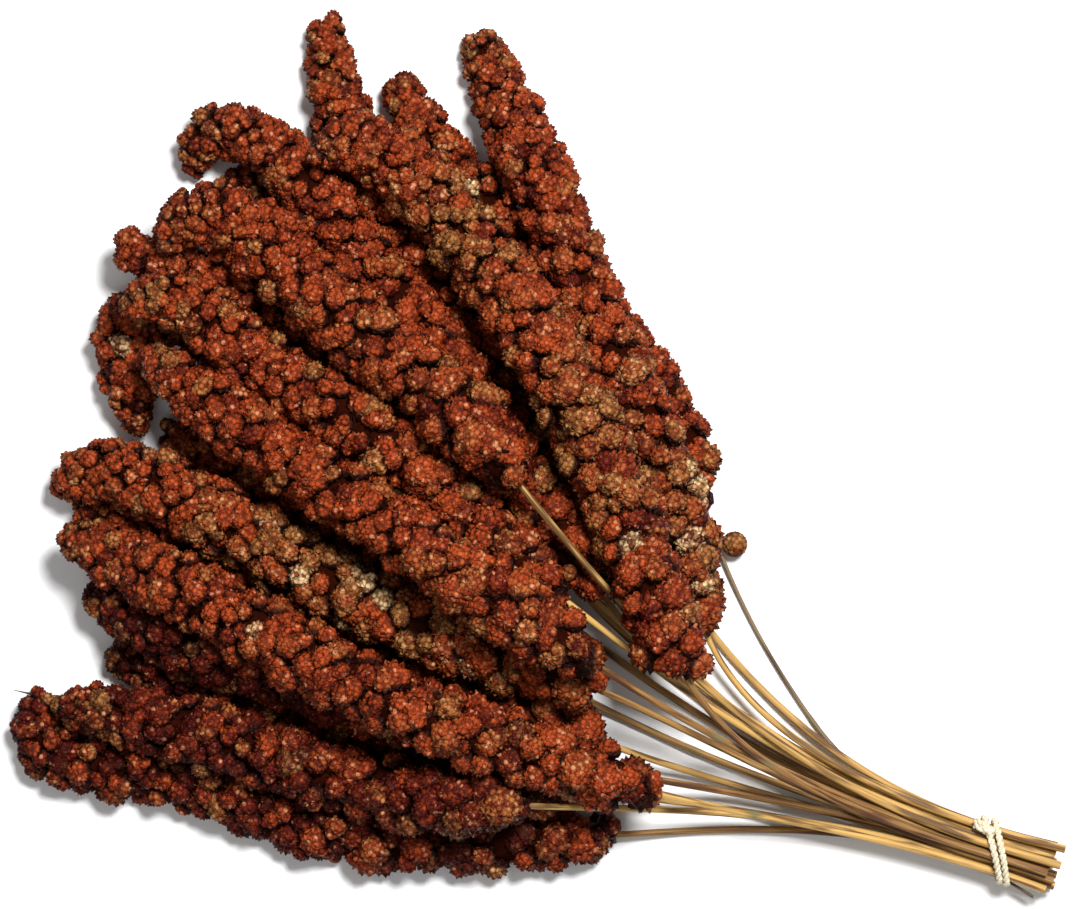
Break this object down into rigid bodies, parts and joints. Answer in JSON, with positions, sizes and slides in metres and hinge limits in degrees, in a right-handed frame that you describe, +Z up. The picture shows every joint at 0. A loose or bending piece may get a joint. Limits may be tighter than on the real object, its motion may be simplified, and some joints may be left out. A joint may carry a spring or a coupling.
{
  "type": "bunch of millet seed heads",
  "caption": "Tied bunch of dried red foxtail millet lying on a surface: long seed heads fan out from straws gathered in one twine tie.",
  "frame": {"origin": "on the surface the bunch lies on, under the middle of its box", "axes": "+X along the bunch towards the cut ends of the straws, +Y across the fan, +Z up"},
  "size_m": [0.4588, 0.3496, 0.0883],
  "materials": {
    "seed_rust": "rough",
    "seed_olive": "rough",
    "straw": "satin",
    "grey_straw": "satin",
    "twine": "matte"
  },
  "bodies": {
    "root": {"head_01": "seed_rust", "head_02": "seed_rust", "head_03": "seed_rust", "head_04": "seed_rust", "head_05": "seed_rust", "head_06": "seed_rust", "head_07": "seed_rust", "head_08": "seed_rust", "head_09": "seed_rust", "head_10": "seed_rust", "head_11": "seed_rust", "head_12": "seed_rust", "head_13": "seed_rust", "head_14": "seed_rust", "head_15": "seed_rust", "head_16": "seed_rust", "head_17": "seed_rust", "head_18": "seed_rust", "head_19": "seed_rust", "head_20": "seed_rust", "stem_01": "straw", "stem_02": "straw", "stem_03": "straw", "stem_04": "grey_straw", "stem_05": "straw", "stem_06": "straw", "stem_07": "straw", "stem_08": "straw", "stem_09": "straw", "stem_10": "straw", "stem_11": "straw", "stem_12": "straw", "stem_13": "straw", "stem_14": "straw", "stem_15": "straw", "stem_16": "straw", "stem_17": "straw", "stem_18": "straw", "stem_19": "straw", "stem_20": "straw", "cluster_loose": "seed_olive", "straw_loose": "grey_straw", "tie": "twine"}
  },
  "joints": []
}
